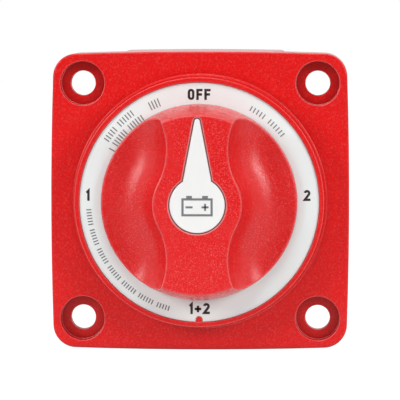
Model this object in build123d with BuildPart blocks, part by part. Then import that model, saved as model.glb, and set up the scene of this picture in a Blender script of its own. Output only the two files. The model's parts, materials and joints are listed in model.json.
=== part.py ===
"""Panel battery switch with four positions: off, battery 1, battery 2 and both.

Sizes are in millimetres. The switch stands as it does on an upright panel: +Z is up (the off position), -Y is
the front, where the knob is, and +Y is the wall. The origin is on the knob's axis, in the wall plane. Depths
are counted forward from the wall, so depth d is the plane y = -d.
"""

import math
import os

from build123d import *

os.makedirs("parts", exist_ok=True)

# ---------------------------------------------------------------- driving dimensions
# Outline of the body: a square whose sides bow outwards a little.
face_width = 69.1
side_bow = 0.65
corner_radius = 5.4
wall = 2.6

# Depths, from the wall forward.
cover_depth = 42.0
flange_depth = 53.0
collar_rim = 60.3
dial_floor = 59.3
chamber_front = 56.8
knob_foot = 60.1
knob_top = 75.7

# Mounting screws.
screw_spacing = 54.5
screw_hole_r = 2.85
counterbore_r = 5.1
counterbore_depth = 4.0
boss_floor = 3.0
boss_relief_r = 4.0

# Collar and printed dial ring on the front.
collar_base_r = 29.1
collar_rim_r = 28.75
dial_r = 27.65
dial_inner_r = 20.5
dial_thick = 0.5
dial_key_r = 0.75
dial_key_reach = 1.35

# Barrel behind the flange, and the round chamber in it.
barrel_width = 52.0
barrel_corner_r = 9.0
barrel_rear = 32.0
chamber_r = 24.0

# Base that closes the chamber and carries the studs.
base_rear = 28.0
gasket_rear = 31.2
base_seat = 39.0
base_front = 39.6
base_screw_at = 20.5

# Terminal studs, 3/8 inch, and the contact plates on their heads.
stud_r = 4.76
stud_pitch_r = 4.37
stud_reach = 22.2
stud_head = 11.6
stud_head_thick = 3.0
stud_circle_r = 15.7
stud_angles = {"common": -90, "1": 27, "2": 153}
contact_thick = 2.0
contact_inner_r = 10.6
contact_outer_r = 21.5
common_ring_r = 7.2

# Rotor and its spindle.
rotor_r = 20.6
rotor_rear = 42.2
rotor_front = 54.8
spindle_r = 7.0
bearing_r = 7.06
bearing_front = 63.3
spindle_square = 9.6
spindle_top = 68.5

# Bridging contact, a fan of copper that the rotor carries opposite the pointer.
bridge_thick = 2.5
bridge_half_angle = 30.0
bridge_inner_r = 4.5
bridge_outer_r = 21.0
bridge_pocket = 46.0
contact_spring_r = 2.1
contact_spring_wire = 0.4
contact_spring_top = 50.0
contact_spring_turns = 5

# Detent: two sprung balls in the rotor's rim, and a ring with four notches round them.
ball_r = 2.25
ball_travel = 0.9
detent_depth = 50.5
detent_ring_r = 21.6
detent_key_r = 1.2
detent_key_angle = 45
ball_at = detent_ring_r - ball_r - 0.03
ball_pocket_end = 10.0
detent_spring_r = 1.65
detent_spring_wire = 0.4
detent_spring_turns = 4

# Knob.
knob_r = 22.65
knob_shoulder_r = 20.4
knob_rim = 62.9
scoop_floor = 61.9
scoop_at = 9.4
scoop_width = 15.2
grip_hub_r = 10.2
grip_neck = 7.05
grip_neck_at = 12.6

# Pointer cap in the knob's top.
cap_r = 6.3
cap_thick = 1.5
cap_tip_at = 19.0
cap_tip_r = 0.65
cap_root = 3.2
cap_root_at = 5.7
cap_gap = 0.22
cap_mouth_step = 0.12


# ---------------------------------------------------------------- helpers
def level(depth):
    """The plane at this depth, seen from the front: x to the right, y up, normal towards the front."""
    return Plane.XZ.offset(depth)


side_profile = Plane((0, 0, 0), x_dir=(1, 0, 0), z_dir=(0, 0, -1))  # x is the radius, y is the depth


def polar(radius, angle):
    """A point on a circle, with the angle in degrees."""
    return radius * math.cos(math.radians(angle)), radius * math.sin(math.radians(angle))


def bowed_square(depth, inset=0.0):
    """The body's outline at this depth, drawn inside its full size by the inset."""
    half = face_width / 2 - inset
    corner = half - side_bow
    turns = [(1, 1), (-1, 1), (-1, -1), (1, -1)]
    middles = [(0, half), (-half, 0), (0, -half), (half, 0)]
    with BuildSketch(level(depth)) as outline:
        with BuildLine():
            for i in range(4):
                start, end = turns[i], turns[(i + 1) % 4]
                ThreePointArc(
                    (start[0] * corner, start[1] * corner),
                    middles[i],
                    (end[0] * corner, end[1] * corner),
                )
        make_face()
        fillet(outline.vertices(), max(corner_radius - inset, 1.5))
    return outline.sketch


def ring_sector(depth, inner, outer, start, end):
    """A flat sector of a ring between two angles, in degrees."""
    middle = (start + end) / 2
    with BuildSketch(level(depth)) as sector:
        with BuildLine():
            ThreePointArc(polar(outer, start), polar(outer, middle), polar(outer, end))
            Line(polar(outer, end), polar(inner, end))
            ThreePointArc(polar(inner, end), polar(inner, middle), polar(inner, start))
            Line(polar(inner, start), polar(outer, start))
        make_face()
    return sector.sketch


def coil(centre, direction, length, radius, wire, turns):
    """A compression spring that starts at the centre and runs along the direction."""
    with BuildPart() as spring:
        with BuildLine():
            path = Helix(
                pitch=(length - 2 * wire) / turns,
                height=length - 2 * wire,
                radius=radius,
                center=Vector(*centre) + Vector(*direction) * wire,
                direction=direction,
            )
        with BuildSketch(Plane(origin=path @ 0, z_dir=path % 0)):
            Circle(wire)
        sweep()
    return spring.part


def save(name, part):
    """Labels a finished piece and writes it to its own STEP file."""
    part.label = name
    export_step(part, f"parts/{name}.step")


stud_places = {name: polar(stud_circle_r, angle) for name, angle in stud_angles.items()}
stud_spots = list(stud_places.values())

# ---------------------------------------------------------------- front case
flange_skin = 3.2
flange_edge_r = 0.4
sharp_edge_r = 0.15
parting_chamfer = 0.25
boss_r = 6.2
rib_thick = 1.6
rib_at = 12.0
rib_set_back = 2.4
latch_width = 5.0
latch_at = 19.3
latch_high = 2.6
latch_deep = 2.8
bearing_outer_r = 10.0
pilot_r = 1.5
pilot_deep = 11.5

with BuildPart() as front_case:
    # Flange: a shallow tray, open to the rear.
    extrude(bowed_square(cover_depth), amount=flange_depth - cover_depth)
    fillet(front_case.faces().sort_by(Axis.Y)[0].edges(), flange_edge_r)
    chamfer(front_case.faces().sort_by(Axis.Y)[-1].edges(), parting_chamfer)
    extrude(
        bowed_square(cover_depth, wall),
        amount=flange_depth - flange_skin - cover_depth,
        mode=Mode.SUBTRACT,
    )
    # Corner bosses round the mounting screws, kept inside the outline.
    with BuildSketch(level(cover_depth)):
        with GridLocations(screw_spacing, screw_spacing, 2, 2):
            Circle(boss_r)
    extrude(amount=flange_depth - flange_skin - cover_depth)
    # Stiffening ribs between the skirt and the barrel, set back so that the cover's lip can enter.
    rib_length = face_width - 2 * wall + 0.6
    with BuildSketch(level(cover_depth + rib_set_back)):
        with Locations((rib_at, 0), (-rib_at, 0)):
            Rectangle(rib_thick, rib_length)
        with Locations((0, rib_at), (0, -rib_at)):
            Rectangle(rib_length, rib_thick)
    extrude(amount=flange_depth - flange_skin - cover_depth - rib_set_back)
    # Barrel that holds the chamber.
    with BuildSketch(level(barrel_rear)):
        RectangleRounded(barrel_width, barrel_width, barrel_corner_r)
    extrude(amount=flange_depth - barrel_rear)
    # Collar on the front.
    with BuildSketch(side_profile):
        with BuildLine():
            Polyline(
                (0, flange_depth - 1),
                (collar_base_r, flange_depth - 1),
                (collar_base_r, flange_depth),
                (collar_rim_r, collar_rim),
                (0, collar_rim),
                close=True,
            )
        make_face()
    revolve(axis=Axis.Y)
    collar_foot = front_case.edges().filter_by(GeomType.CIRCLE).filter_by(
        lambda e: abs(e.radius - collar_base_r) < 0.01 and abs(e.center().Y + flange_depth) < 0.01
    )
    fillet(collar_foot, 0.5)
    # Dial recess, chamber and the bearing sleeve for the spindle.
    with BuildSketch(level(collar_rim)):
        Circle(dial_r)
    extrude(amount=dial_floor - collar_rim, mode=Mode.SUBTRACT)
    rim_edges = front_case.faces().filter_by(Plane.XZ).sort_by(Axis.Y)[0].edges()
    fillet(rim_edges, sharp_edge_r)
    with BuildSketch(level(barrel_rear)):
        Circle(chamber_r)
    extrude(amount=chamber_front - barrel_rear, mode=Mode.SUBTRACT)
    with BuildSketch(level(base_front)):
        with Locations(polar(chamber_r, detent_key_angle)):
            Circle(detent_key_r)
    extrude(amount=chamber_front - base_front)
    with BuildSketch(level(dial_floor)):
        Circle(bearing_outer_r)
    extrude(amount=bearing_front - dial_floor)
    with BuildSketch(level(chamber_front)):
        Circle(bearing_r)
    extrude(amount=bearing_front - chamber_front, mode=Mode.SUBTRACT)
    # Key that sets the dial ring's place.
    with BuildSketch(level(dial_floor)):
        with Locations((0, -dial_r + dial_key_reach - dial_key_r)):
            Circle(dial_key_r)
        with Locations((0, -dial_r + (dial_key_reach - dial_key_r) / 2 - 0.1)):
            Rectangle(2 * dial_key_r, dial_key_reach - dial_key_r + 0.2)
    extrude(amount=dial_thick)
    # Counterbored mounting holes.
    with BuildSketch(level(flange_depth)):
        with GridLocations(screw_spacing, screw_spacing, 2, 2):
            Circle(counterbore_r)
    extrude(amount=-counterbore_depth, mode=Mode.SUBTRACT)
    bore_mouths = front_case.edges().filter_by(GeomType.CIRCLE).filter_by(
        lambda e: abs(e.radius - counterbore_r) < 0.01 and abs(e.center().Y + flange_depth) < 0.01
    )
    fillet(bore_mouths, sharp_edge_r)
    with BuildSketch(level(cover_depth)):
        with GridLocations(screw_spacing, screw_spacing, 2, 2):
            Circle(screw_hole_r)
    extrude(amount=flange_depth - cover_depth, mode=Mode.SUBTRACT)
    # Behind the counterbore's floor the hole opens out, so that the screw only touches the floor.
    with BuildSketch(level(cover_depth)):
        with GridLocations(screw_spacing, screw_spacing, 2, 2):
            Circle(boss_relief_r)
    extrude(amount=flange_depth - counterbore_depth - boss_floor - cover_depth, mode=Mode.SUBTRACT)
    # Pilot holes for the base screws, and the latch windows in the skirt.
    with BuildSketch(level(barrel_rear)):
        with GridLocations(2 * base_screw_at, 2 * base_screw_at, 2, 2):
            Circle(pilot_r)
    extrude(amount=pilot_deep, mode=Mode.SUBTRACT)
    with BuildSketch(level(cover_depth)):
        latch_middle = (face_width - latch_deep) / 2
        with Locations((latch_at, latch_middle), (-latch_at, -latch_middle)):
            Rectangle(latch_width, latch_deep)
    extrude(amount=latch_high, mode=Mode.SUBTRACT)
save("front_case", front_case.part)

# ---------------------------------------------------------------- dial ring
with BuildPart() as dial_ring:
    with BuildSketch(level(dial_floor)):
        Circle(dial_r - 0.08)
        Circle(dial_inner_r, mode=Mode.SUBTRACT)
        with Locations((0, -dial_r + dial_key_reach - dial_key_r)):
            Circle(dial_key_r + 0.08, mode=Mode.SUBTRACT)
        with Locations((0, -dial_r)):
            Rectangle(2 * dial_key_r + 0.16, 2 * (dial_key_reach - dial_key_r), mode=Mode.SUBTRACT)
    extrude(amount=dial_thick)
save("dial_ring", dial_ring.part)

# ---------------------------------------------------------------- detent ring
# The ring is clamped between the base and the chamber's front wall, and keyed against turning.
with BuildPart() as detent_ring:
    with BuildSketch(level(base_front)):
        Circle(chamber_r - 0.03)
        Circle(detent_ring_r, mode=Mode.SUBTRACT)
        with PolarLocations(ball_at + ball_travel, 4):
            Circle(ball_r + 0.06, mode=Mode.SUBTRACT)
        with Locations(polar(chamber_r, detent_key_angle)):
            Circle(detent_key_r + 0.06, mode=Mode.SUBTRACT)
    extrude(amount=chamber_front - 0.02 - base_front)
save("detent_ring", detent_ring.part)

# ---------------------------------------------------------------- base, its gasket and screws
pad_gap = 0.1
strap_width = 12.0
strap_reach = 20.4
contact_span = {"1": (-25, 80), "2": (100, 205)}
seal_seat_r = 6.6
seal_seat_depth = 1.8
barrier_thick = 2.2
barrier_high = 7.0
base_screw_r = 1.45
screw_clearance_r = 1.7

with BuildPart() as rear_base:
    with BuildSketch(level(base_rear)):
        RectangleRounded(barrel_width, barrel_width, barrel_corner_r)
    extrude(amount=gasket_rear - base_rear)
    fillet(rear_base.faces().sort_by(Axis.Y)[-1].edges(), 0.6)
    with BuildSketch(level(gasket_rear)):
        Circle(chamber_r - 0.1)
    extrude(amount=base_front - gasket_rear)
    # Barriers on the rear, between the terminals: three blades that meet near the axis.
    with BuildSketch(level(base_rear)):
        with Locations((0, 11)):
            Rectangle(barrier_thick, 24)
        for side in (1, -1):
            with Locations(Location((side * 12.5, -7.5, 0), -side * 30)):
                Rectangle(21, barrier_thick)
    extrude(amount=-barrier_high)
    # Seats for the contact plates, pockets for the stud heads, seal seats and stud holes.
    for start, end in contact_span.values():
        extrude(
            ring_sector(
                base_seat, contact_inner_r - pad_gap, contact_outer_r + pad_gap, start - 0.4, end + 0.4
            ),
            amount=base_front - base_seat,
            mode=Mode.SUBTRACT,
        )
    with BuildSketch(level(base_seat)):
        Circle(common_ring_r + pad_gap)
        with Locations((0, -strap_reach / 2)):
            Rectangle(strap_width + 2 * pad_gap, strap_reach + 2 * pad_gap)
    extrude(amount=base_front - base_seat, mode=Mode.SUBTRACT)
    with BuildSketch(level(base_seat)):
        for name, spot in stud_places.items():
            with Locations(Location((*spot, 0), stud_angles[name])):
                RectangleRounded(stud_head + 0.2, stud_head + 0.2, 1.0)
    extrude(amount=-stud_head_thick, mode=Mode.SUBTRACT)
    with BuildSketch(level(base_seat - stud_head_thick)):
        with Locations(*stud_spots):
            Circle(seal_seat_r)
    extrude(amount=-seal_seat_depth, mode=Mode.SUBTRACT)
    with BuildSketch(level(base_rear)):
        with Locations(*stud_spots):
            Circle(stud_r + 0.09)
        with GridLocations(2 * base_screw_at, 2 * base_screw_at, 2, 2):
            Circle(screw_clearance_r)
    extrude(amount=base_front - base_rear, mode=Mode.SUBTRACT)
save("rear_base", rear_base.part)

with BuildPart() as base_gasket:
    with BuildSketch(level(gasket_rear)):
        RectangleRounded(barrel_width - 0.6, barrel_width - 0.6, barrel_corner_r)
        Circle(chamber_r, mode=Mode.SUBTRACT)
        with GridLocations(2 * base_screw_at, 2 * base_screw_at, 2, 2):
            Circle(screw_clearance_r + 0.1, mode=Mode.SUBTRACT)
    extrude(amount=barrel_rear - gasket_rear)
save("base_gasket", base_gasket.part)

screw_length = 14.0
screw_head_r = 2.8
screw_head_high = 1.9
screw_slot = 0.7
screw_slot_deep = 1.1

with BuildPart() as base_screws:
    with BuildSketch(level(base_rear)):
        with GridLocations(2 * base_screw_at, 2 * base_screw_at, 2, 2):
            Circle(screw_head_r)
    extrude(amount=-screw_head_high)
    fillet(base_screws.faces().filter_by(Plane.XZ).group_by(Axis.Y)[-1].edges(), 0.9)
    with BuildSketch(level(base_rear)):
        with GridLocations(2 * base_screw_at, 2 * base_screw_at, 2, 2):
            Circle(base_screw_r)
    extrude(amount=screw_length)
    chamfer(base_screws.faces().filter_by(Plane.XZ).group_by(Axis.Y)[0].edges(), 0.6)
    with BuildSketch(level(base_rear - screw_head_high)):
        with GridLocations(2 * base_screw_at, 2 * base_screw_at, 2, 2):
            Rectangle(screw_head_r + 0.2, screw_slot)
            Rectangle(screw_slot, screw_head_r + 0.2)
    extrude(amount=screw_slot_deep, mode=Mode.SUBTRACT)
save("base_screws", base_screws.part)

# ---------------------------------------------------------------- studs, seals, washers and nuts
# A nut and its stud meet at the pitch radius; everywhere else a thread is drawn at its major radius.
stud_tip = base_rear - stud_reach
flat_washer_thick = 1.6
flat_washer_r = 10.3
flat_washer_hole_r = 5.2
lock_washer_thick = 2.4
lock_washer_r = 8.4
lock_washer_hole_r = 5.0
lock_washer_split = 0.9
nut_flats = 14.3
nut_high = 8.3
nut_cone_slope = math.radians(30)
flat_washer_front = base_rear
lock_washer_front = flat_washer_front - flat_washer_thick
nut_front = lock_washer_front - lock_washer_thick

for name, spot in stud_places.items():
    with BuildPart() as stud:
        with BuildSketch(level(base_seat - stud_head_thick)):
            with Locations(Location((*spot, 0), stud_angles[name])):
                RectangleRounded(stud_head, stud_head, 1.2)
        extrude(amount=stud_head_thick)
        with BuildSketch(level(stud_tip)):
            with Locations(spot):
                Circle(stud_r)
        extrude(amount=base_seat - stud_head_thick - stud_tip)
        chamfer(stud.faces().sort_by(Axis.Y)[-1].edges(), 0.8)
        with BuildSketch(level(nut_front)):
            with Locations(spot):
                Circle(stud_r + 1)
                Circle(stud_pitch_r, mode=Mode.SUBTRACT)
        extrude(amount=-nut_high, mode=Mode.SUBTRACT)
    save(f"stud_{name}", stud.part)

seal_wire_r = 0.84

with BuildPart() as stud_seals:
    seal_mid = base_seat - stud_head_thick - seal_seat_depth / 2
    for spot in stud_spots:
        with Locations(Location((spot[0], -seal_mid, spot[1]), (90, 0, 0))):
            Torus(stud_r + 0.04 + seal_wire_r, seal_wire_r)
save("stud_seals", stud_seals.part)

with BuildPart() as flat_washers:
    with BuildSketch(level(flat_washer_front)):
        with Locations(*stud_spots):
            Circle(flat_washer_r)
            Circle(flat_washer_hole_r, mode=Mode.SUBTRACT)
    extrude(amount=-flat_washer_thick)
    fillet(flat_washers.faces().filter_by(Plane.XZ).group_by(Axis.Y)[-1].edges(), 0.3)
save("flat_washers", flat_washers.part)

with BuildPart() as lock_washers:
    with BuildSketch(level(lock_washer_front)):
        with Locations(*stud_spots):
            Circle(lock_washer_r)
            Circle(lock_washer_hole_r, mode=Mode.SUBTRACT)
        # The split crosses the ring at a slant.
        for spot in stud_spots:
            with Locations(Location((spot[0], spot[1] + (lock_washer_r + lock_washer_hole_r) / 2, 0), 35)):
                Rectangle(lock_washer_split, 6, mode=Mode.SUBTRACT)
    extrude(amount=-lock_washer_thick)
save("lock_washers", lock_washers.part)

with BuildPart() as stud_nuts:
    with BuildSketch(level(nut_front)):
        with Locations(*stud_spots):
            RegularPolygon(nut_flats / 2, 6, major_radius=False)
            Circle(stud_pitch_r + 0.04, mode=Mode.SUBTRACT)
    extrude(amount=-nut_high)
    # Each hexagon's corners are turned back to a cone, as on a pressed nut.
    cone_foot_r = nut_flats / 2 - 0.1
    cone_reach_r = nut_flats / 2 / math.cos(math.radians(30)) + 1
    cone_fall = (cone_reach_r - cone_foot_r) * math.tan(nut_cone_slope)
    nut_rear = nut_front - nut_high
    for spot in stud_spots:
        cone_plane = Plane((spot[0], 0, spot[1]), x_dir=(1, 0, 0), z_dir=(0, 0, -1))
        with BuildSketch(cone_plane, mode=Mode.PRIVATE) as cone:
            with BuildLine():
                Polyline(
                    (cone_foot_r, nut_rear),
                    (cone_reach_r, nut_rear),
                    (cone_reach_r, nut_rear + cone_fall),
                    close=True,
                )
            make_face()
        revolve(
            cone.sketch,
            axis=Axis((spot[0], 0, spot[1]), (0, 1, 0)),
            mode=Mode.SUBTRACT,
        )
save("stud_nuts", stud_nuts.part)

# ---------------------------------------------------------------- fixed contacts
for name, (start, end) in contact_span.items():
    with BuildPart() as contact:
        extrude(ring_sector(base_seat, contact_inner_r, contact_outer_r, start, end), amount=contact_thick)
        fillet(contact.edges().filter_by(Axis.Y), 1.0)
        fillet(contact.faces().sort_by(Axis.Y)[0].edges(), 0.4)
    save(f"contact_{name}", contact.part)

with BuildPart() as contact_common:
    with BuildSketch(level(base_seat)):
        Circle(common_ring_r)
        with Locations((0, -strap_reach / 2)):
            Rectangle(strap_width, strap_reach)
        Circle(common_ring_r - 3.2, mode=Mode.SUBTRACT)
    extrude(amount=contact_thick)
    fillet(contact_common.faces().sort_by(Axis.Y)[0].edges(), 0.4)
save("contact_common", contact_common.part)

# ---------------------------------------------------------------- rotor and spindle
spring_spots = [polar(7.5, -90), polar(16.5, -106), polar(16.5, -74)]
drive_socket = spindle_square + 0.2
knob_screw_r = 2.0
spindle_seal_depth = 61.3
spindle_seal_wire_r = 0.7

with BuildPart() as rotor:
    with BuildSketch(level(rotor_rear)):
        Circle(rotor_r)
    extrude(amount=rotor_front - rotor_rear)
    fillet(rotor.edges(), 0.5)
    with BuildSketch(level(rotor_front)):
        Circle(spindle_r)
    extrude(amount=bearing_front + 0.1 - rotor_front)
    with BuildSketch(level(bearing_front + 0.1)):
        RectangleRounded(spindle_square, spindle_square, 0.8)
    extrude(amount=spindle_top - bearing_front - 0.1)
    chamfer(rotor.faces().sort_by(Axis.Y)[0].edges(), 0.5)
    # Groove for the spindle seal.
    with BuildSketch(side_profile):
        with Locations((spindle_r, spindle_seal_depth)):
            Rectangle(4 * spindle_seal_wire_r + 0.04, 1.9)
    revolve(axis=Axis.Y, mode=Mode.SUBTRACT)
    # Hole for the knob screw.
    with BuildSketch(level(spindle_top)):
        Circle(knob_screw_r + 0.05)
    extrude(amount=-11, mode=Mode.SUBTRACT)
    # Pocket for the bridging contact and blind holes for its springs.
    extrude(
        ring_sector(
            rotor_rear,
            bridge_inner_r - 0.4,
            rotor_r + 1,
            -90 - bridge_half_angle - 1.5,
            -90 + bridge_half_angle + 1.5,
        ),
        amount=bridge_pocket - rotor_rear,
        mode=Mode.SUBTRACT,
    )
    with BuildSketch(level(bridge_pocket)):
        with Locations(*spring_spots):
            Circle(contact_spring_r + contact_spring_wire + 0.2)
    extrude(amount=contact_spring_top - bridge_pocket, mode=Mode.SUBTRACT)
    # Pockets for the detent balls and their springs.
    for side in (1, -1):
        pocket_end = Plane((side * ball_pocket_end, -detent_depth, 0), x_dir=(0, 1, 0), z_dir=(side, 0, 0))
        with BuildSketch(pocket_end):
            Circle(ball_r + 0.05)
        extrude(amount=rotor_r, mode=Mode.SUBTRACT)
save("rotor", rotor.part)

with BuildPart() as spindle_seal:
    with Locations(Location((0, -spindle_seal_depth, 0), (90, 0, 0))):
        Torus(spindle_r + 0.01 - spindle_seal_wire_r, spindle_seal_wire_r)
save("spindle_seal", spindle_seal.part)

with BuildPart() as thrust_washer:
    with BuildSketch(level(rotor_front + 0.05)):
        Circle(13.0)
        Circle(spindle_r + 0.2, mode=Mode.SUBTRACT)
    extrude(amount=chamber_front - rotor_front - 0.1)
save("thrust_washer", thrust_washer.part)

# ---------------------------------------------------------------- bridging contact and its springs
bridge_rear = base_seat + contact_thick + 0.02

with BuildPart() as bridge_contact:
    extrude(
        ring_sector(
            bridge_rear, bridge_inner_r, bridge_outer_r, -90 - bridge_half_angle, -90 + bridge_half_angle
        ),
        amount=bridge_thick,
    )
    fillet(bridge_contact.edges().filter_by(Axis.Y), 0.8)
    fillet(bridge_contact.faces().sort_by(Axis.Y)[-1].edges(), 0.5)
save("bridge_contact", bridge_contact.part)

contact_spring_foot = bridge_rear + bridge_thick + 0.02
contact_coils = [
    coil(
        (x, -contact_spring_foot, z),
        (0, -1, 0),
        contact_spring_top - 0.03 - contact_spring_foot,
        contact_spring_r,
        contact_spring_wire,
        contact_spring_turns,
    )
    for x, z in spring_spots
]
with BuildPart() as contact_springs:
    add(contact_coils)
save("contact_springs", contact_springs.part)

# ---------------------------------------------------------------- detent balls and springs
for name, side in (("a", 1), ("b", -1)):
    with BuildPart() as detent_ball:
        with Locations((side * ball_at, -detent_depth, 0)):
            Sphere(ball_r)
    save(f"detent_ball_{name}", detent_ball.part)

detent_coil = coil(
    (ball_pocket_end + 0.02, -detent_depth, 0),
    (1, 0, 0),
    ball_at - ball_r - ball_pocket_end + 0.4,
    detent_spring_r,
    detent_spring_wire,
    detent_spring_turns,
)
with BuildPart() as detent_springs:
    add(detent_coil)
    mirror(about=Plane.YZ)
save("detent_springs", detent_springs.part)

# ---------------------------------------------------------------- knob, its screw and the pointer cap
neck_r = (grip_neck**2 + grip_neck_at**2 - grip_hub_r**2) / (2 * (grip_hub_r - grip_neck))
neck_x = grip_neck + neck_r
tangent_angle = math.degrees(math.atan2(grip_neck_at, neck_x))
arm_angle = 60.0


def neck_point(angle):
    """A point on the upper right neck arc, at an angle above the line from its centre to the grip."""
    turn = math.radians(angle)
    return neck_x - neck_r * math.cos(turn), grip_neck_at + neck_r * math.sin(turn)


def cap_outline(depth, grow):
    """The pointer's outline: a round hub with a long tapered finger that points up."""
    with BuildSketch(level(depth)) as outline:
        Circle(cap_r + grow)
        with BuildLine():
            Polyline(
                (-cap_root - grow, 0),
                (-cap_root - grow, cap_root_at),
                (-cap_tip_r - grow, cap_tip_at),
                (cap_tip_r + grow, cap_tip_at),
                (cap_root + grow, cap_root_at),
                (cap_root + grow, 0),
                close=True,
            )
        make_face()
        with Locations((0, cap_tip_at)):
            Circle(cap_tip_r + grow)
    return outline.sketch


socket_top = spindle_top + 0.1
web_top = socket_top + 2.0
cap_seat = knob_top - cap_thick - 0.1
knob_edge_r = 0.3
well_r = 10.6
arm_pocket_at = 14.6
arm_skin = 3.4
knob_screw_hole_r = 2.2
knob_screw_bore_r = 4.2

with BuildPart() as knob:
    # Outer envelope: a slightly barrelled cone.
    with BuildSketch(side_profile):
        with BuildLine():
            Line((0, knob_foot), (knob_r, knob_foot))
            ThreePointArc(
                (knob_r, knob_foot),
                ((knob_r + knob_shoulder_r) / 2 + 0.35, (knob_foot + knob_top) / 2),
                (knob_shoulder_r, knob_top),
            )
            Line((knob_shoulder_r, knob_top), (0, knob_top))
            Line((0, knob_top), (0, knob_foot))
        make_face()
    revolve(axis=Axis.Y)
    # Finger scoops: one hollow swept along each side of the grip's hourglass edge, over hub and both necks.
    with BuildLine(level(knob_top)) as grip_edge:
        join = polar(grip_hub_r, tangent_angle)
        middle = neck_point((arm_angle - tangent_angle) / 2)
        end = neck_point(arm_angle)
        ThreePointArc(end, middle, join)
        ThreePointArc(join, (grip_hub_r, 0), (join[0], -join[1]))
        ThreePointArc((join[0], -join[1]), (middle[0], -middle[1]), (end[0], -end[1]))
    edge = grip_edge.wires()[0]
    tangent = edge % 0
    with BuildSketch(Plane(edge @ 0, x_dir=tangent.cross(Vector(0, 1, 0)), z_dir=tangent)) as hollow:
        with BuildLine():
            low = scoop_floor - knob_top
            rim = knob_rim - knob_top
            wall_curve = Spline(
                (0, -0.6), (scoop_at, low), tangents=((0, -1), (1, 0)), tangent_scalars=(1.3, 1.3)
            )
            floor_curve = TangentArc(wall_curve @ 1, (scoop_width, rim), tangent=(1, 0))
            Polyline(floor_curve @ 1, (scoop_width, 2), (0, 2), (0, -0.6))
        make_face()
    scoop = sweep(hollow.sketch, path=edge, mode=Mode.SUBTRACT)
    add(mirror(scoop, about=Plane.YZ, mode=Mode.PRIVATE), mode=Mode.SUBTRACT)
    # Round the grip's top edge, and the rim where each scoop runs out of the side.
    top_edges = knob.faces().filter_by(Plane.XZ).sort_by(Axis.Y)[0].edges()
    rim_edges = knob.edges().filter_by(GeomType.BSPLINE).filter_by(
        lambda e: math.hypot((e @ 0.5).X, (e @ 0.5).Z) > knob_shoulder_r - 1
    )
    fillet(top_edges + rim_edges, knob_edge_r)
    # Underside: the well for the bearing sleeve, and a pocket in each arm of the grip.
    with BuildSketch(level(knob_foot)):
        Circle(well_r)
    extrude(amount=bearing_front + 0.4 - knob_foot, mode=Mode.SUBTRACT)
    with BuildSketch(level(knob_foot)):
        with Locations((0, arm_pocket_at), (0, -arm_pocket_at)):
            RectangleRounded(9.0, 6.4, 1.5)
    extrude(amount=knob_top - arm_skin - knob_foot, mode=Mode.SUBTRACT)
    # Square drive socket, screw hole and its counterbore.
    with BuildSketch(level(knob_foot)):
        RectangleRounded(drive_socket, drive_socket, 0.8)
    extrude(amount=socket_top - knob_foot, mode=Mode.SUBTRACT)
    with BuildSketch(level(knob_foot)):
        Circle(knob_screw_hole_r)
    extrude(amount=knob_top - knob_foot, mode=Mode.SUBTRACT)
    with BuildSketch(level(web_top)):
        Circle(knob_screw_bore_r)
    extrude(amount=knob_top - web_top, mode=Mode.SUBTRACT)
    extrude(cap_outline(cap_seat, cap_gap), amount=knob_top - cap_seat, mode=Mode.SUBTRACT)
    extrude(
        cap_outline(knob_top - cap_mouth_step, cap_gap + cap_mouth_step),
        amount=cap_mouth_step,
        mode=Mode.SUBTRACT,
    )
save("knob", knob.part)

knob_screw_head_r = 3.7
knob_screw_head_high = 2.2

with BuildPart() as knob_screw:
    with BuildSketch(level(web_top)):
        Circle(knob_screw_head_r)
    extrude(amount=knob_screw_head_high)
    fillet(knob_screw.faces().sort_by(Axis.Y)[0].edges(), 0.9)
    with BuildSketch(level(web_top)):
        Circle(knob_screw_r)
    extrude(amount=-12)
    chamfer(knob_screw.faces().sort_by(Axis.Y)[-1].edges(), 0.6)
    with BuildSketch(level(web_top + knob_screw_head_high)):
        Rectangle(knob_screw_head_r + 0.3, 0.9)
        Rectangle(0.9, knob_screw_head_r + 0.3)
    extrude(amount=-1.3, mode=Mode.SUBTRACT)
save("knob_screw", knob_screw.part)

with BuildPart() as pointer_cap:
    extrude(cap_outline(cap_seat + 0.02, 0.0), amount=cap_thick)
    fillet(pointer_cap.faces().sort_by(Axis.Y)[0].edges(), 0.25)
    with BuildSketch(level(cap_seat + 0.02)):
        Circle(4.0)
        Circle(3.0, mode=Mode.SUBTRACT)
    extrude(amount=-1.1)
save("pointer_cap", pointer_cap.part)

# ---------------------------------------------------------------- isolating cover
back_thick = 2.6
back_edge_r = 1.2
back_rib_high = 1.6
flute_from = 19.6
flute_r = 7.5
flute_wall_top = 25.6
flute_mouth = 30.0
lip_gap = 0.15
lip_thick = 1.3
lip_reach = 1.8
lip_length = 42.0
entry_width = 18.0
entry_bottom = 8.0
entry_side_at = stud_places["1"][1]
score_width = 0.5
score_depth = 0.7


def entry_outline(plane, across, grow=0.0):
    """A cable opening on a side of the cover: round towards the wall and open at the front rim."""
    radius = entry_width / 2 + grow
    with BuildSketch(plane) as outline:
        with Locations((across, entry_bottom + entry_width / 2)):
            Circle(radius)
        with Locations((across, (entry_bottom + entry_width / 2 + cover_depth + 5) / 2)):
            Rectangle(2 * radius, cover_depth + 5 - entry_bottom - entry_width / 2)
    return outline.sketch


# On each of these planes x runs across a side of the cover, y is the depth, and the normal points outwards.
right_side = Plane((face_width / 2 - 8, 0, 0), x_dir=(0, 0, 1), z_dir=(1, 0, 0))
left_side = Plane((-face_width / 2 + 8, 0, 0), x_dir=(0, 0, -1), z_dir=(-1, 0, 0))
top_side = Plane((0, 0, face_width / 2 - 8), x_dir=(-1, 0, 0), z_dir=(0, 0, 1))
bottom_side = Plane((0, 0, -face_width / 2 + 8), x_dir=(1, 0, 0), z_dir=(0, 0, -1))

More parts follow.
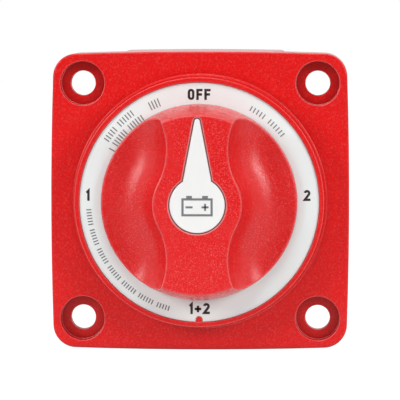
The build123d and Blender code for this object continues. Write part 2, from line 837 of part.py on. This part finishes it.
def corner_squares(depth, start, radius):
    """Four squares that begin at this distance from the middle lines, each with its inner corner rounded."""
    size = face_width / 2
    with BuildSketch(level(depth)) as squares:
        with GridLocations(2 * start + size, 2 * start + size, 2, 2):
            RectangleRounded(size, size, radius)
    return squares.sketch


with BuildPart() as isolating_cover:
    # Outer shape: square at the rim, with a flute in each corner for the mounting screws to pass outside it.
    extrude(bowed_square(0), amount=cover_depth)
    extrude(corner_squares(0, flute_from, flute_r), amount=flute_mouth, mode=Mode.SUBTRACT)
    flute_edges = isolating_cover.edges().filter_by(Axis.Y).filter_by(
        lambda e: abs(e.length - flute_mouth) < 0.01
    )
    fillet(flute_edges, 1.5)
    fillet(isolating_cover.faces().sort_by(Axis.Y)[-1].edges(), back_edge_r)
    chamfer(isolating_cover.faces().sort_by(Axis.Y)[0].edges(), parting_chamfer)
    # The hollow, with walls round the flutes that stop short of the base.
    with BuildSketch(level(back_thick)):
        add(bowed_square(back_thick, wall))
        add(corner_squares(back_thick, flute_from - wall, flute_r + wall), mode=Mode.SUBTRACT)
    extrude(amount=flute_wall_top - back_thick, mode=Mode.SUBTRACT)
    extrude(bowed_square(flute_wall_top, wall), amount=cover_depth - flute_wall_top, mode=Mode.SUBTRACT)
    # Locating lip along each side, which enters the case's skirt.
    lip_outer = face_width / 2 - wall - lip_gap
    root_width = lip_thick + lip_gap + side_bow
    with BuildSketch(level(cover_depth - 3)):
        for side in (1, -1):
            with Locations((side * (lip_outer - lip_thick + root_width / 2), 0)):
                Rectangle(root_width, lip_length)
            with Locations((0, side * (lip_outer - lip_thick + root_width / 2))):
                Rectangle(lip_length, root_width)
    extrude(amount=3)
    with BuildSketch(level(cover_depth)):
        for side in (1, -1):
            with Locations((side * (lip_outer - lip_thick / 2 - side_bow / 2), 0)):
                Rectangle(lip_thick, lip_length)
            with Locations((0, side * (lip_outer - lip_thick / 2 - side_bow / 2))):
                Rectangle(lip_length, lip_thick)
    extrude(amount=lip_reach)
    # Cable openings beside the three terminals, and a scored knock-out on the fourth side.
    extrude(entry_outline(right_side, entry_side_at), amount=12, mode=Mode.SUBTRACT)
    extrude(entry_outline(left_side, -entry_side_at), amount=12, mode=Mode.SUBTRACT)
    extrude(entry_outline(bottom_side, 0), amount=12, mode=Mode.SUBTRACT)
    inner_face = top_side.offset(8 - wall - side_bow - 0.1)
    with BuildSketch(inner_face):
        add(entry_outline(inner_face, 0, score_width))
        add(entry_outline(inner_face, 0), mode=Mode.SUBTRACT)
    extrude(amount=score_depth + side_bow + 0.1, mode=Mode.SUBTRACT)
    # Pry notches at the rim, in line with those of the case.
    with BuildSketch(level(cover_depth)):
        with Locations((latch_at, face_width / 2), (-latch_at, -face_width / 2)):
            Rectangle(latch_width, 2 * (wall + side_bow) - 1.2)
    extrude(amount=-3.5, mode=Mode.SUBTRACT)
    # Stiffening ribs on the inside of the back plate.
    with BuildSketch(level(back_thick)):
        Rectangle(rib_thick, face_width - 2 * wall)
        Rectangle(face_width - 2 * wall, rib_thick)
    extrude(amount=back_rib_high)
save("isolating_cover", isolating_cover.part)
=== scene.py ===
import json
import math

import bpy
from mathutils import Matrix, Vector


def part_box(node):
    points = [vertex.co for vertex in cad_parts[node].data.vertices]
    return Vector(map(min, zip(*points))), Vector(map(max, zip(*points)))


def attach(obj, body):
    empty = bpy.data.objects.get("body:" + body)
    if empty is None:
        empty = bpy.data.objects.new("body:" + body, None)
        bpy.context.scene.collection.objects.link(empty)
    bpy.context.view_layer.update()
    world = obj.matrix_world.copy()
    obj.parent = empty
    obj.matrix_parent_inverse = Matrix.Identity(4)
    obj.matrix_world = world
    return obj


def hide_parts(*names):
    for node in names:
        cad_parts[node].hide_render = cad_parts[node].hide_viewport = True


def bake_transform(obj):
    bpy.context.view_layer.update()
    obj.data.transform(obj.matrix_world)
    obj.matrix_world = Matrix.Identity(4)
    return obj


# The looks of a battery switch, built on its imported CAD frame. Metres; -Y is the front and +Z is up.
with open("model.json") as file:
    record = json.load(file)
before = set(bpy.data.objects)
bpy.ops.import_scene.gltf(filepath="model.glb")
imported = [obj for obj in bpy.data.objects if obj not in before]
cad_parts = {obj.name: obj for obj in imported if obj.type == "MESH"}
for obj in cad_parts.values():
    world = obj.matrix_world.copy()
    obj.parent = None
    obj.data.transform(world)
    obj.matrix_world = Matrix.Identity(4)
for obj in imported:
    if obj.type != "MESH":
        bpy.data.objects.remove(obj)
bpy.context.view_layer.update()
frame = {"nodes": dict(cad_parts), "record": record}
nodes = frame["nodes"]

MM = 0.001

# ---------------------------------------------------------------- places taken from the frame
case_low, case_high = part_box("front_case")
dial_low, dial_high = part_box("dial_ring")
dial_front = dial_low.y
dial_r = dial_high.x
cap_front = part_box("pointer_cap")[0].y
face_width = case_high.x - case_low.x

# The case's bearing sleeve stands forward of its flange by this much.
sleeve_rise = 10.3 * MM
flange_front = case_low.y + sleeve_rise


# ---------------------------------------------------------------- mesh helpers
def new_piece(name, vertices, faces, material, body):
    """A mesh object, placed in the frame's own space, that rides on a CAD body."""
    mesh = bpy.data.meshes.new(name)
    mesh.from_pydata(vertices, [], faces)
    mesh.validate()
    mesh.update()
    piece = bpy.data.objects.new(name, mesh)
    bpy.context.scene.collection.objects.link(piece)
    mesh.materials.append(material)
    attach(piece, body)
    return piece


class Ink:
    """Flat printed shapes, gathered into one thin sheet that stands just proud of a surface."""

    thick = 0.025 * MM

    def __init__(self, front):
        self.front = front
        self.vertices = []
        self.faces = []

    def patch(self, outline):
        """A convex patch, given as (x, z) corners in order."""
        first = len(self.vertices)
        count = len(outline)
        for y in (self.front - self.thick, self.front + self.thick):
            self.vertices += [(x, y, z) for x, z in outline]
        self.faces.append([first + i for i in range(count)])
        self.faces.append([first + count + i for i in reversed(range(count))])
        for i in range(count):
            j = (i + 1) % count
            self.faces.append([first + j, first + i, first + count + i, first + count + j])

    def stroke(self, path, width, shift=(0, 0)):
        """A line of constant width along a path of (x, z) points, with mitred corners, moved by a shift."""
        left, right = [], []
        closed = path[0] == path[-1]
        points = path[:-1] if closed else path
        count = len(points)
        for i, (x, z) in enumerate(points):
            before = points[i - 1] if i or closed else None
            after = points[(i + 1) % count] if i < count - 1 or closed else None
            sides = []
            if before:
                sides.append(unit_normal(before, (x, z)))
            if after:
                sides.append(unit_normal((x, z), after))
            nx = sum(s[0] for s in sides)
            nz = sum(s[1] for s in sides)
            scale = width / 2 * len(sides) / (nx * nx + nz * nz)
            left.append((shift[0] + x + nx * scale, shift[1] + z + nz * scale))
            right.append((shift[0] + x - nx * scale, shift[1] + z - nz * scale))
        last = count if closed else count - 1
        for i in range(last):
            j = (i + 1) % count
            self.patch([left[i], left[j], right[j], right[i]])

    def piece(self, name, material, body, slot):
        return new_piece(name, self.vertices, self.faces, material, body)


def unit_normal(start, end):
    dx, dz = end[0] - start[0], end[1] - start[1]
    length = math.hypot(dx, dz)
    return -dz / length, dx / length


def arc_points(centre_x, centre_z, radius_x, radius_z, start, end, steps=10):
    """Points on an ellipse's arc, with angles in degrees."""
    points = []
    for i in range(steps + 1):
        turn = math.radians(start + (end - start) * i / steps)
        points.append((centre_x + radius_x * math.cos(turn), centre_z + radius_z * math.sin(turn)))
    return points


# ---------------------------------------------------------------- node materials
# The places of the Mix node's two colours and of its mixed colour among its sockets.
MIX_COLOURS_IN = (6, 7)
MIX_COLOUR_OUT = 2


class Shader:
    """A small helper that adds nodes to a material and joins them."""

    def __init__(self, name):
        self.material = bpy.data.materials.new(name)
        self.material.use_nodes = True
        self.tree = self.material.node_tree
        self.surface = self.tree.nodes["Principled BSDF"]
        coordinates = self.tree.nodes.new("ShaderNodeTexCoord")
        self.place = coordinates.outputs["Object"]

    def node(self, kind, inputs=None, **settings):
        made = self.tree.nodes.new(kind)
        for key, value in settings.items():
            setattr(made, key, value)
        for key, value in (inputs or {}).items():
            self.feed(made, key, value)
        return made

    def feed(self, node, key, value):
        socket = node.inputs[key]
        if isinstance(value, bpy.types.NodeSocket):
            self.tree.links.new(value, socket)
        elif socket.type == "RGBA" and len(value) == 3:
            socket.default_value = (*value, 1.0)
        else:
            socket.default_value = value

    def set(self, **inputs):
        for key, value in inputs.items():
            self.feed(self.surface, key.replace("_", " "), value)

    def noise(self, size, detail=2.0, roughness=0.5):
        """Noise with features of about this size, in metres."""
        made = self.node(
            "ShaderNodeTexNoise",
            {"Vector": self.place, "Scale": 1.0 / size, "Detail": detail, "Roughness": roughness},
        )
        return made.outputs["Fac"]

    def spread(self, value, low, high, to_low, to_high):
        """Stretches the span from low to high onto another span, and holds it at the ends."""
        made = self.node(
            "ShaderNodeMapRange",
            {"Value": value, "From Min": low, "From Max": high, "To Min": to_low, "To Max": to_high},
        )
        return made.outputs["Result"]

    def blend(self, amount, first, second):
        """The first colour where the amount is 0 and the second where it is 1."""
        made = self.node("ShaderNodeMix", data_type="RGBA")
        self.feed(made, "Factor", amount)
        for index, colour in zip(MIX_COLOURS_IN, (first, second)):
            if isinstance(colour, bpy.types.NodeSocket):
                self.tree.links.new(colour, made.inputs[index])
            else:
                made.inputs[index].default_value = (*colour, 1.0)
        return made.outputs[MIX_COLOUR_OUT]

    def blend_value(self, amount, first, second):
        """A plain number that goes from the first to the second value."""
        made = self.node("ShaderNodeMix", data_type="FLOAT")
        for key, value in (("Factor", amount), ("A", first), ("B", second)):
            self.feed(made, key, value)
        return made.outputs["Result"]

    def maths(self, operation, first, second):
        made = self.node("ShaderNodeMath", operation=operation)
        for index, value in ((0, first), (1, second)):
            if isinstance(value, bpy.types.NodeSocket):
                self.tree.links.new(value, made.inputs[index])
            else:
                made.inputs[index].default_value = value
        return made.outputs[0]

    def bump(self, height, distance, strength=1.0, normal=None):
        made = self.node(
            "ShaderNodeBump", {"Height": height, "Distance": distance, "Strength": strength}
        )
        if normal is not None:
            self.feed(made, "Normal", normal)
        return made.outputs["Normal"]

    def grazing(self, from_share):
        """0 where the surface faces the eye, rising to 1 as it turns edge-on."""
        made = self.node("ShaderNodeLayerWeight", {"Blend": 0.5})
        return self.spread(made.outputs["Facing"], from_share, 1.0, 0.0, 1.0)

    def edge_normal(self, radius):
        """The surface's normal with its sharp edges rounded by this radius."""
        made = self.node("ShaderNodeBevel", {"Radius": radius}, samples=6)
        return made.outputs["Normal"]

    def openness(self, reach):
        """1 on open ground, falling towards 0 deep in a recess of about this reach."""
        made = self.node("ShaderNodeAmbientOcclusion", {"Distance": reach}, samples=8)
        return made.outputs["AO"]

    def edge_mask(self, radius):
        """1 on sharp edges and 0 on flat ground."""
        geometry = self.node("ShaderNodeNewGeometry")
        product = self.node("ShaderNodeVectorMath", operation="DOT_PRODUCT")
        self.tree.links.new(self.edge_normal(radius), product.inputs[0])
        self.tree.links.new(geometry.outputs["Normal"], product.inputs[1])
        return self.spread(product.outputs["Value"], 0.99, 0.92, 0.0, 1.0)


def red_plastic(name, colour, grain, relief, edge, glint_amount, hollow_shade, roughness, ior):
    """Moulded plastic with a spark-eroded grain whose colour carries painted light: pale specks as glints,
    painted shade deep in hollows and painted highlights along the edges.

    Grain, relief and edge are sizes in metres. The glint and shade amounts say how strongly the painted
    glints and the painted shade in hollows show.
    """
    s = Shader(name)
    glint_tint, edge_highlight_tint = 0.10, 0.38
    deep = tuple(0.80 * c for c in colour)
    shade = tuple(0.45 * c for c in colour)
    glint_pale = (colour[0], colour[1] + glint_tint, colour[2] + glint_tint)
    highlight_pale = (colour[0], colour[1] + edge_highlight_tint, colour[2] + edge_highlight_tint)

    fine = s.noise(grain, detail=2.0, roughness=0.7)
    # Pale specks painted into the colour as glints: painted highlights sparkling on the grain.
    painted_glints = s.spread(s.noise(grain * 1.1, detail=1.0), 0.55, 0.70, 0.0, glint_amount)
    # Painted shade: deep in hollows the colour darkens towards the shade colour, by ambient occlusion.
    hollow_shading = s.spread(s.openness(4 * MM), 0.35, 0.75, hollow_shade, 0.0)
    # Painted highlight: sharp edges are tinted pale, as thin lines of light along them.
    edge_highlight = s.maths("MULTIPLY", s.edge_mask(2 * edge), 0.9)
    base = s.blend(s.spread(fine, 0.38, 0.62, 0.0, 1.0), deep, colour)
    base = s.blend(painted_glints, base, glint_pale)
    base = s.blend(hollow_shading, base, shade)
    base = s.blend(edge_highlight, base, highlight_pale)

    # Seen edge-on, the plastic mirrors like polished plastic.
    gloss = s.spread(s.noise(9 * MM, detail=2.0), 0.3, 0.7, roughness - 0.03, roughness + 0.03)
    gloss = s.blend_value(s.grazing(0.9), gloss, 0.1)
    normal = s.bump(fine, relief, 1.0, s.edge_normal(edge))
    s.set(Base_Color=base, Roughness=gloss, Normal=normal, IOR=ior)
    return s.material


def smooth_plastic(name, colour, roughness, bump_mm=0.004):
    """Moulded plastic with a faint orange-peel surface."""
    s = Shader(name)
    peel = s.noise(0.8 * MM, detail=2.0)
    shade = s.noise(6 * MM)
    dull = tuple(0.95 * c for c in colour)
    s.set(
        Base_Color=s.blend(shade, dull, colour),
        Roughness=s.spread(peel, 0.3, 0.7, roughness - 0.03, roughness + 0.03),
        Normal=s.bump(peel, bump_mm * MM, 0.5, s.edge_normal(0.12 * MM)),
    )
    return s.material


def printed_ink(name, colour):
    """Pad-printed ink: nearly flat, with a slightly uneven film."""
    s = Shader(name)
    film = s.noise(0.15 * MM, detail=3.0)
    thin = tuple(min(1.0, c * 1.25 + 0.01) for c in colour)
    s.set(Base_Color=s.blend(film, colour, thin), Roughness=0.55)
    return s.material


def bare_metal(name, colour, roughness, streak_size=1.0 * MM, streak=8.0):
    """Turned or drawn metal with a little tarnish and streaks that are thinnest along Y."""
    s = Shader(name)
    stretched = s.node("ShaderNodeMapping", {"Vector": s.place, "Scale": (1.0, streak, 1.0)})
    lines = s.node(
        "ShaderNodeTexNoise",
        {"Vector": stretched.outputs["Vector"], "Scale": 1.0 / streak_size, "Detail": 4.0},
    ).outputs["Fac"]
    tarnish = s.noise(6 * MM, detail=1.0)
    dull = tuple(0.86 * c for c in colour)
    s.set(
        Base_Color=s.blend(s.spread(tarnish, 0.35, 0.7, 0.0, 1.0), colour, dull),
        Metallic=1.0,
        Roughness=s.spread(lines, 0.3, 0.7, roughness - 0.03, roughness + 0.05),
        Normal=s.bump(lines, 0.004 * MM, 0.35, s.edge_normal(0.1 * MM)),
    )
    return s.material


def soft_rubber(name):
    """Black rubber with a greyish bloom."""
    s = Shader(name)
    bloom = s.noise(1.2 * MM, detail=4.0)
    s.set(
        Base_Color=s.blend(bloom, (0.018, 0.018, 0.018), (0.05, 0.05, 0.048)),
        Roughness=s.spread(bloom, 0.3, 0.7, 0.6, 0.8),
        Normal=s.bump(bloom, 0.02 * MM, 0.4),
    )
    return s.material


materials = {
    # Each red plastic's colour carries painted glints, painted shade in hollows and painted highlights
    # along its edges.
    "red_body": red_plastic(
        "red_body",
        colour=(0.84, 0.0005, 0.0005),
        grain=0.30 * MM,
        relief=0.035 * MM,
        edge=0.14 * MM,
        glint_amount=0.32,
        hollow_shade=0.8,
        roughness=0.33,
        ior=1.5,
    ),
    "red_knob": red_plastic(
        "red_knob",
        colour=(0.85, 0.003, 0.004),
        grain=0.25 * MM,
        relief=0.045 * MM,
        edge=0.24 * MM,
        glint_amount=0.75,
        hollow_shade=0.0,
        roughness=0.27,
        ior=1.6,
    ),
    "white_dial": smooth_plastic("white_dial", (0.87, 0.97, 0.96), 0.42),
    "white_cap": smooth_plastic("white_cap", (0.90, 0.90, 0.89), 0.35),
    "grey_base": smooth_plastic("grey_base", (0.035, 0.035, 0.038), 0.5, 0.015),
    "natural_acetal": smooth_plastic("natural_acetal", (0.72, 0.70, 0.64), 0.35),
    "black_rotor": smooth_plastic("black_rotor", (0.02, 0.02, 0.022), 0.45, 0.01),
    "seal_rubber": soft_rubber("seal_rubber"),
    "copper": bare_metal("copper", (0.83, 0.45, 0.30), 0.28),
    "tinned_stud": bare_metal("tinned_stud", (0.78, 0.77, 0.73), 0.3),
    "stainless": bare_metal("stainless", (0.66, 0.66, 0.65), 0.27),
    "spring_steel": bare_metal("spring_steel", (0.5, 0.5, 0.52), 0.25),
    "ball_steel": bare_metal("ball_steel", (0.8, 0.8, 0.82), 0.1, 6.0 * MM, 1.0),
}
legend_ink = printed_ink("legend_ink", (0.02, 0.008, 0.010))
mark_ink = printed_ink("mark_ink", (0.16, 0.16, 0.17))

for row in frame["record"]["subparts"]:
    piece = nodes[row["node"]]
    piece.data.materials.clear()
    piece.data.materials.append(materials[row["material_slot"]])


# ---------------------------------------------------------------- threaded studs
# 3/8-16 studs: the thread has 16 turns an inch, and runs from the tip to the base they stand in.
inch = 25.4 * MM
stud_r = 4.76 * MM
stud_pitch_r = 4.37 * MM
thread_length = 22.2 * MM
thread_pitch = inch / 16
thread_depth = 0.61 * thread_pitch
tip_chamfer = 0.8 * MM
head_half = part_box("stud_common")[1].x
head_thick = 3.0 * MM
head_corner_r = 1.2 * MM
head_chamfer = 0.2 * MM
nut_low, nut_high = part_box("stud_nuts")
steps_round = 48
rows_a_turn = 8


def thread_r(y, turn, start, tip):
    """The radius of a right-handed thread at a place along it. Inside the nut its crests are cut off."""
    phase = (y / thread_pitch + turn / (2 * math.pi)) % 1
    groove = 1 - abs(2 * phase - 1)
    run_in = min(1.0, (y - start) / thread_pitch)
    radius = stud_r - thread_depth * run_in * groove
    if nut_low.y < y < nut_high.y:
        radius = min(radius, stud_pitch_r)
    return min(radius, stud_r - tip_chamfer + (tip - y))


def head_r(turn, half):
    """How far a square head with rounded corners reaches in the direction of turn."""
    across, up = abs(math.cos(turn)), abs(math.sin(turn))
    flat = half / max(across, up)
    corner_at = half - head_corner_r
    if flat * min(across, up) <= corner_at:
        return flat
    along = corner_at * (across + up)
    past = along**2 - 2 * corner_at**2 + head_corner_r**2
    return along + math.sqrt(max(0.0, past))


def stud_with_thread(node, head_turn):
    """A square-headed stud as a stack of rings round its own axis, from the face of the head to the tip."""
    low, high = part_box(node)
    axis = (low + high) / 2
    start = high.y - thread_length
    turns = [2 * math.pi * step / steps_round for step in range(steps_round)]

    head_rear = low.y + head_thick
    head_rings = (
        (low.y, head_half - head_chamfer),
        (low.y + head_chamfer, head_half),
        (head_rear, head_half),
    )
    rings = []
    for y, half in head_rings:
        rings.append((y, [head_r(turn - head_turn, half) for turn in turns]))
    for y in (head_rear, start):
        rings.append((y, [stud_r for turn in turns]))
    rows = round(thread_length / thread_pitch * rows_a_turn)
    for row in range(1, rows + 1):
        y = start + thread_length * row / rows
        rings.append((y, [thread_r(y, turn, start, high.y) for turn in turns]))

    vertices = [(axis.x, low.y, axis.z)]
    for y, radii in rings:
        for turn, radius in zip(turns, radii):
            vertices.append((axis.x + radius * math.cos(turn), y, axis.z + radius * math.sin(turn)))
    tip = len(vertices)
    vertices.append((axis.x, high.y, axis.z))

    faces = []
    last = 1 + (len(rings) - 1) * steps_round
    for step in range(steps_round):
        after = (step + 1) % steps_round
        faces.append([0, 1 + step, 1 + after])
        for here in range(1, last, steps_round):
            there = here + steps_round
            faces.append([here + step, there + step, there + after, here + after])
        faces.append([last + step, tip, last + after])
    slot = "tinned_stud"
    threaded = new_piece(node + "_threaded", vertices, faces, materials[slot], "case")
    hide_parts(node)


# Each head is turned by its stud's own direction from the axis, in degrees.
for node, direction in (("stud_common", -90), ("stud_1", 27), ("stud_2", 153)):
    stud_with_thread(node, math.radians(direction))


# ---------------------------------------------------------------- springs copied out of the CAD springs
def spring_between(name, node, chosen):
    """The chosen part of a CAD spring, as a mesh of its own that takes the CAD part's place."""
    source = nodes[node]
    corners = [source.matrix_world @ vertex.co for vertex in source.data.vertices]
    faces = []
    for face in source.data.polygons:
        if all(chosen(corners[i]) for i in face.vertices):
            faces.append(list(face.vertices))
    used = sorted({i for face in faces for i in face})
    places = {old: new for new, old in enumerate(used)}

    mesh = bpy.data.meshes.new(name)
    mesh.from_pydata([corners[i] for i in used], [], [[places[i] for i in face] for face in faces])
    mesh.update()
    mesh.polygons.foreach_set("use_smooth", [True] * len(mesh.polygons))
    mesh.materials.append(materials["spring_steel"])
    spring = bpy.data.objects.new(name, mesh)
    bpy.context.scene.collection.objects.link(spring)

    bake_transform(spring)
    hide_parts(node)


spring_between("bridge_springs", "contact_springs", lambda p: True)
spring_between("ball_spring_a", "detent_springs", lambda p: p.x > 0)
spring_between("ball_spring_b", "detent_springs", lambda p: p.x < 0)


# ---------------------------------------------------------------- printed dial
letter_high = 2.55 * MM
letter_width = 1.55 * MM
letter_stroke = 0.56 * MM
letter_gap = 0.42 * MM
plus_width = 1.5 * MM


def letter_paths(letter):
    """The strokes of one upright letter, as centre lines from its lower left corner, and its width."""
    half = letter_stroke / 2
    low, high = half, letter_high - half
    left, right = half, letter_width - half
    middle = (left + right) / 2
    reach = (right - left) / 2
    if letter == "O":
        top = arc_points(middle, high - reach, reach, reach, 0, 180)
        bottom = arc_points(middle, low + reach, reach, reach, 180, 360)
        return [top + bottom + [top[0]]], letter_width
    if letter == "F":
        bar = high * 0.56
        return [
            [(left, 0), (left, high), (right + half * 0.6, high)],
            [(left, bar), (right + half * 0.1, bar)],
        ], letter_width * 0.92
    if letter == "1":
        stem = left + reach * 0.9
        return [[(left, high * 0.80), (stem, high), (stem, 0)]], letter_width * 0.66
    if letter == "2":
        bowl = arc_points(middle, high - reach, reach, reach, 170, -35)
        return [bowl + [(left, low), (right + half, low)]], letter_width
    mid_x, mid_z = plus_width / 2, letter_high * 0.46
    arm = plus_width / 2
    return [
        [(mid_x - arm, mid_z), (mid_x + arm, mid_z)],
        [(mid_x, mid_z - arm), (mid_x, mid_z + arm)],
    ], plus_width


def write_legend(ink, text, centre_x, centre_z):
    """Upright lettering, centred on a point."""
    parts = [letter_paths(letter) for letter in text]
    total = sum(width for _, width in parts) + letter_gap * (len(text) - 1)
    x = centre_x - total / 2
    for paths, width in parts:
        for path in paths:
            ink.stroke(path, letter_stroke, (x, centre_z - letter_high / 2))
        x += width + letter_gap


# The legends stand about one circle. The two at the sides sit a little high, the 1 a little further out
# and the 1+2 a little further in.
legend_r = dial_r - 2.75 * MM
side_legend_z = 1.6 * MM
left_legend_out = 0.9 * MM
low_legend_in = 0.3 * MM
legends = Ink(dial_front)
write_legend(legends, "OFF", 0, legend_r)
write_legend(legends, "2", legend_r, side_legend_z)
write_legend(legends, "1", -legend_r - left_legend_out, side_legend_z)
write_legend(legends, "1+2", 0, -legend_r + low_legend_in)
legends.piece("dial_legends", legend_ink, "case", "white_dial")

# Plain marks in place of small print: rows of short bars in groups, which spell nothing.
marks = Ink(dial_front)
bar_width = 0.26 * MM
bars_in_group = 6


def row_of_bars(start, end, inset, high, pitch):
    """Radial bars along an arc inside the dial's rim, from one angle to another, in gapped groups."""
    radius = dial_r - inset
    count = round(math.radians(abs(end - start)) * radius / pitch)
    for i in range(count + 1):
        if i % (bars_in_group + 1) == bars_in_group:
            continue
        turn = math.radians(start + (end - start) * i / count)
        across = Vector((math.cos(turn), math.sin(turn)))
        ends = [tuple(across * (radius - high / 2)), tuple(across * (radius + high / 2))]
        marks.stroke(ends, bar_width)


row_of_bars(184, 254, 2.1 * MM, 1.15 * MM, 0.68 * MM)
row_of_bars(39, 61, 2.9 * MM, 1.25 * MM, 0.85 * MM)
row_of_bars(127, 146, 1.9 * MM, 1.5 * MM, 0.75 * MM)
row_of_bars(124, 149, 4.1 * MM, 1.5 * MM, 0.75 * MM)
row_of_bars(112, 117, 2.8 * MM, 2.0 * MM, 0.8 * MM)
marks.piece("dial_marks", mark_ink, "case", "white_dial")

# A battery sign on the pointer cap: a case, two posts, a plus and a minus.
sign = Ink(cap_front)
sign_half = 3.3 * MM
sign_high = 3.6 * MM
sign_line = 0.5 * MM
sign_low = -2.2 * MM
sign_top = sign_low + sign_high
sign_middle = (sign_low + sign_top) / 2
post_at = sign_half * 0.55
post_half = 0.65 * MM
post_thick = 0.6 * MM
pole_half = 0.8 * MM
pole_thick = 0.45 * MM

battery_outline = [
    (-sign_half, sign_low),
    (sign_half, sign_low),
    (sign_half, sign_top),
    (-sign_half, sign_top),
    (-sign_half, sign_low),
]
sign.stroke(battery_outline, sign_line)
for x in (-post_at, post_at):
    post_z = sign_top + sign_line
    sign.stroke([(x - post_half, post_z), (x + post_half, post_z)], post_thick)
    sign.stroke([(x - pole_half, sign_middle), (x + pole_half, sign_middle)], pole_thick)
sign.stroke([(post_at, sign_middle - pole_half), (post_at, sign_middle + pole_half)], pole_thick)
sign.piece("cap_sign", mark_ink, "turning", "white_cap")

# ---------------------------------------------------------------- stage, light and camera
# The camera looks at a point just above the middle of the flange.
target_z = 0.2 * MM
target = Vector((0, flange_front, target_z))
azimuth = math.radians(1.7)
elevation = math.radians(2.7)
distance = 1.0
# The flange takes up this share of the frame's width.
face_share = 0.7455

# The floor is a white table that glows: the eye sees it evenly white, so it shows no horizon against the
# white surround.
floor_mesh = bpy.data.meshes.new("studio_floor")
floor_r = 3.0
rim = []
for degrees in range(0, 360, 6):
    turn = math.radians(degrees)
    rim.append((floor_r * math.cos(turn), floor_r * math.sin(turn), case_low.z))
floor_mesh.from_pydata(rim, [], [list(range(len(rim)))])
floor = bpy.data.objects.new("studio_floor", floor_mesh)
bpy.context.scene.collection.objects.link(floor)
floor_paint = Shader("studio_floor")
table_rays = floor_paint.node("ShaderNodeLightPath").outputs["Is Camera Ray"]
away = floor_paint.node("ShaderNodeVectorMath", operation="LENGTH")
floor_paint.tree.links.new(floor_paint.place, away.inputs[0])
# A painted glow: to other rays the floor shines brightest near the switch and fades to a faint glow by half
# a metre, lighting it from below.
table_glow = floor_paint.spread(away.outputs["Value"], 0.15, 0.5, 0.62, 0.06)
floor_paint.set(
    Base_Color=(0.12, 0.12, 0.12),
    Roughness=0.9,
    Emission_Color=(1.0, 1.0, 1.0),
    Emission_Strength=floor_paint.blend_value(table_rays, table_glow, 0.93),
)
floor_mesh.materials.append(floor_paint.material)

# A white surround. The eye sees it white, but as a light it is dim in front and bright everywhere else.
world = bpy.data.worlds.new("studio")
world.use_nodes = True
bpy.context.scene.world = world
sky = world.node_tree
background = sky.nodes["Background"]
direction = sky.nodes.new("ShaderNodeTexCoord")
split = sky.nodes.new("ShaderNodeSeparateXYZ")
sky.links.new(direction.outputs["Generated"], split.inputs["Vector"])
fade = sky.nodes.new("ShaderNodeMapRange")
sky.links.new(split.outputs["Y"], fade.inputs["Value"])
for key, value in (("From Min", -0.95), ("From Max", -0.3), ("To Min", 0.08), ("To Max", 0.72)):
    fade.inputs[key].default_value = value
rays = sky.nodes.new("ShaderNodeLightPath")
seen = sky.nodes.new("ShaderNodeMix")
sky.links.new(rays.outputs["Is Camera Ray"], seen.inputs["Factor"])
sky.links.new(fade.outputs["Result"], seen.inputs["A"])
seen.inputs["B"].default_value = 1.0
sky.links.new(seen.outputs["Result"], background.inputs["Strength"])
background.inputs["Color"].default_value = (1, 1, 1, 1)


def softbox(name, position, size, power):
    """A square lamp that faces the switch."""
    lamp = bpy.data.lights.new(name, "AREA")
    lamp.shape = "SQUARE"
    lamp.size = size
    lamp.energy = power
    holder = bpy.data.objects.new(name, lamp)
    holder.location = position
    holder.rotation_mode = "QUATERNION"
    holder.rotation_quaternion = (target - Vector(position)).to_track_quat("-Z", "Y")
    bpy.context.scene.collection.objects.link(holder)


softbox("left_box", (-0.95, -0.95, 0.48), 0.45, 6.0)
softbox("right_box", (0.95, -0.95, 0.48), 0.45, 6.2)
softbox("top_box", (0.0, -0.7, 1.0), 0.6, 4.0)

camera = bpy.data.cameras.new("camera")
camera.lens = camera.sensor_width * distance / (face_width / face_share)
camera.clip_start = 0.01
eye = bpy.data.objects.new("camera", camera)
back = Vector(
    (
        math.sin(azimuth) * math.cos(elevation),
        -math.cos(azimuth) * math.cos(elevation),
        math.sin(elevation),
    )
)
eye.location = target + back * distance
eye.rotation_mode = "QUATERNION"
eye.rotation_quaternion = (-back).to_track_quat("-Z", "Y")
bpy.context.scene.collection.objects.link(eye)
bpy.context.scene.camera = eye
bpy.context.scene.view_settings.view_transform = "Standard"
